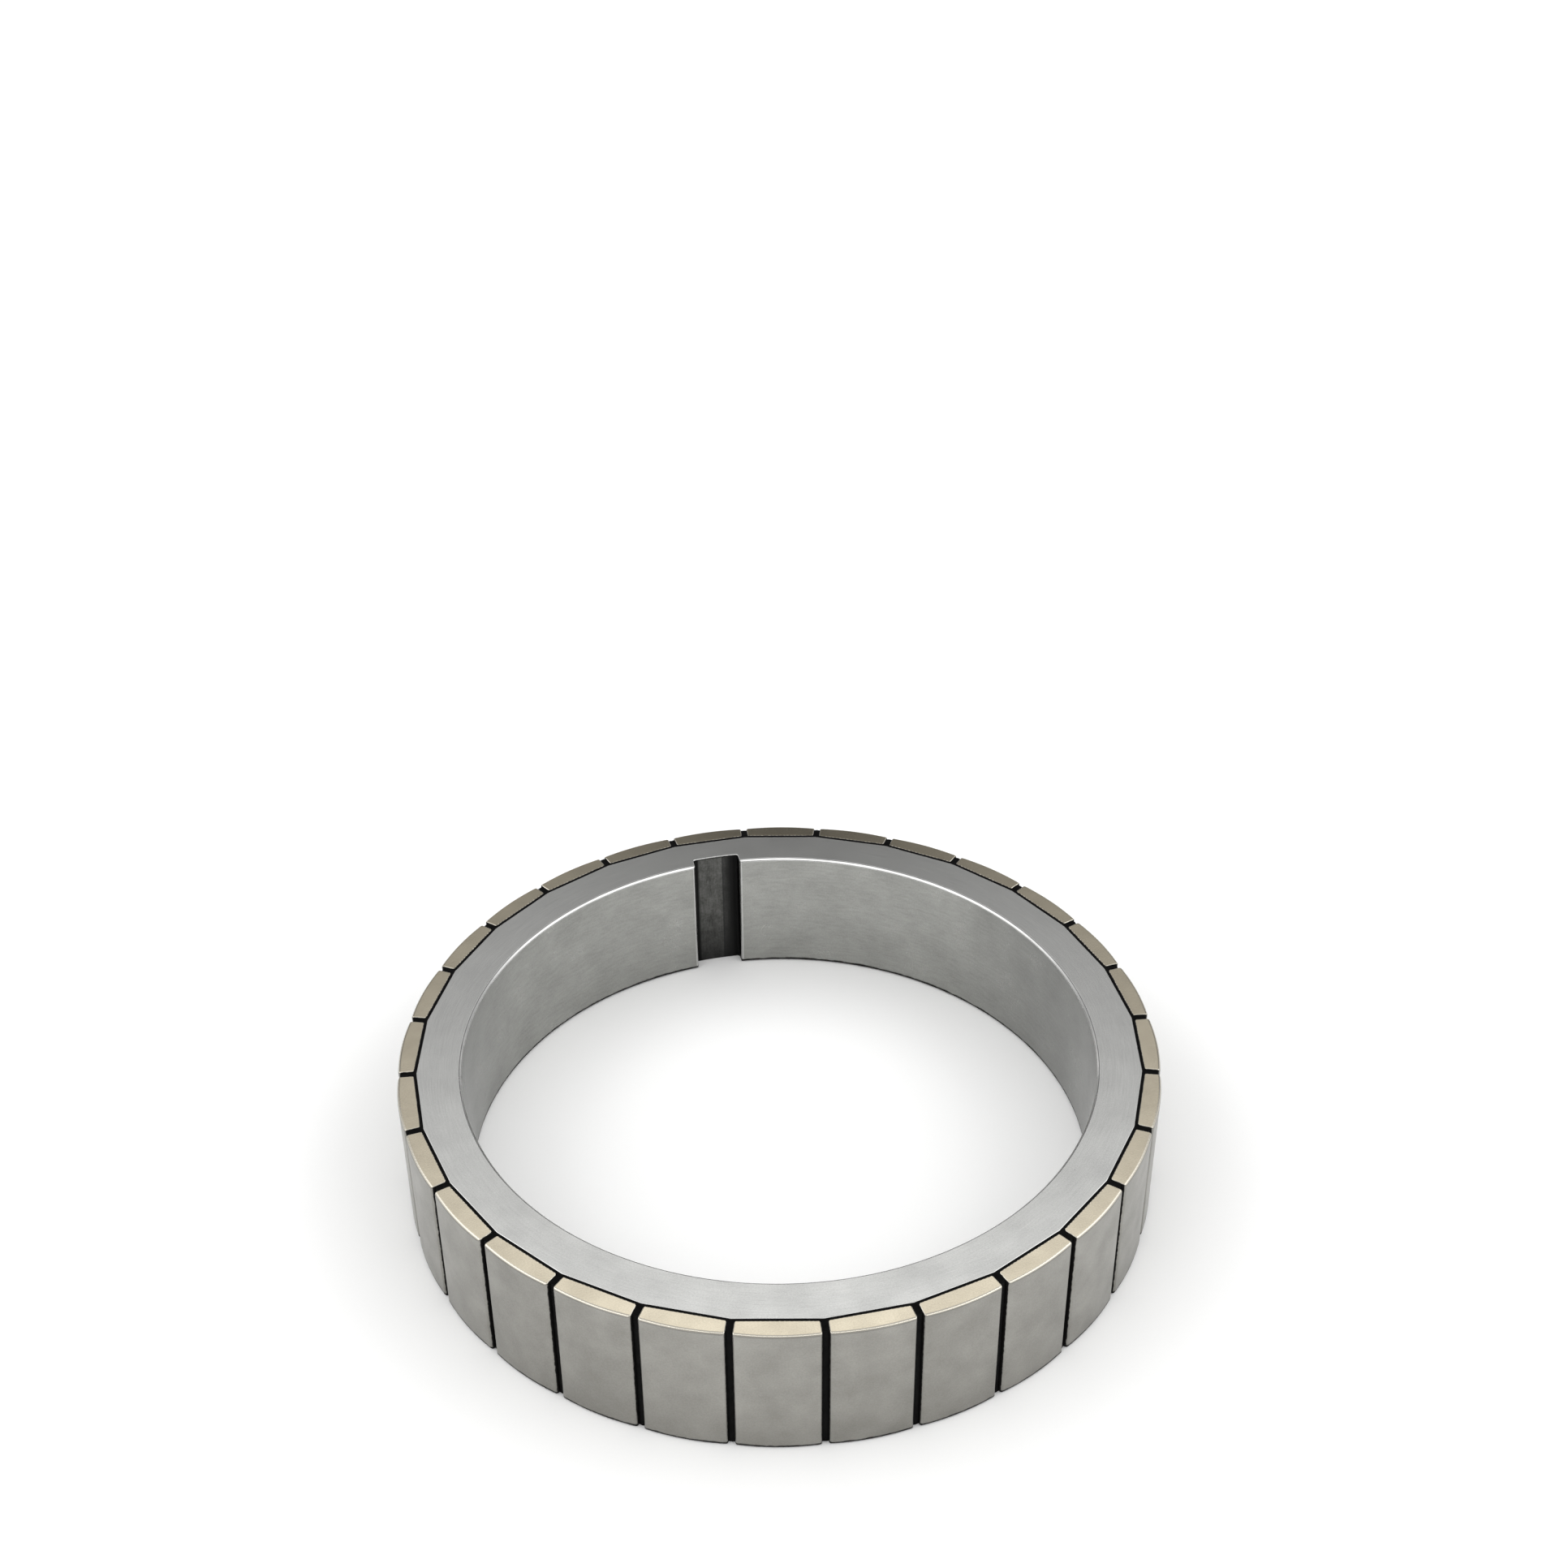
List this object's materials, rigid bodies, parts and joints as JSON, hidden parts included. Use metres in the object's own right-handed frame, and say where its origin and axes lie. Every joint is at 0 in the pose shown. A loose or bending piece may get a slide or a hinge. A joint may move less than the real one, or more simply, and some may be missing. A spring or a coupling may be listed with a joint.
{
  "type": "permanent magnet rotor",
  "caption": "Ring-shaped motor rotor: a keyed steel back-iron ring with a belt of arched magnets bonded round its faceted outside.",
  "frame": {"origin": "centre of the bore in the plane of the lower end face", "axes": "+Z along the bore, up through the ring; +Y through the middle of the keyway; the middles of four magnets lie on the X and Y axes"},
  "size_m": [0.12, 0.12, 0.023],
  "materials": {
    "ground_steel": "satin ground steel, a little darker in the bore",
    "magnet_nickel": "satin nickel plating, warmer on the end faces",
    "black_epoxy": "cured black adhesive, matt"
  },
  "bodies": {
    "root": {"rotor_core": "ground_steel", "bonding_adhesive": "black_epoxy", "magnet_01": "magnet_nickel", "magnet_02": "magnet_nickel", "magnet_03": "magnet_nickel", "magnet_04": "magnet_nickel", "magnet_05": "magnet_nickel", "magnet_06": "magnet_nickel", "magnet_07": "magnet_nickel", "magnet_08": "magnet_nickel", "magnet_09": "magnet_nickel", "magnet_10": "magnet_nickel", "magnet_11": "magnet_nickel", "magnet_12": "magnet_nickel", "magnet_13": "magnet_nickel", "magnet_14": "magnet_nickel", "magnet_15": "magnet_nickel", "magnet_16": "magnet_nickel", "magnet_17": "magnet_nickel", "magnet_18": "magnet_nickel", "magnet_19": "magnet_nickel", "magnet_20": "magnet_nickel", "magnet_21": "magnet_nickel", "magnet_22": "magnet_nickel", "magnet_23": "magnet_nickel", "magnet_24": "magnet_nickel", "magnet_25": "magnet_nickel", "magnet_26": "magnet_nickel", "magnet_27": "magnet_nickel", "magnet_28": "magnet_nickel"}
  },
  "joints": []
}
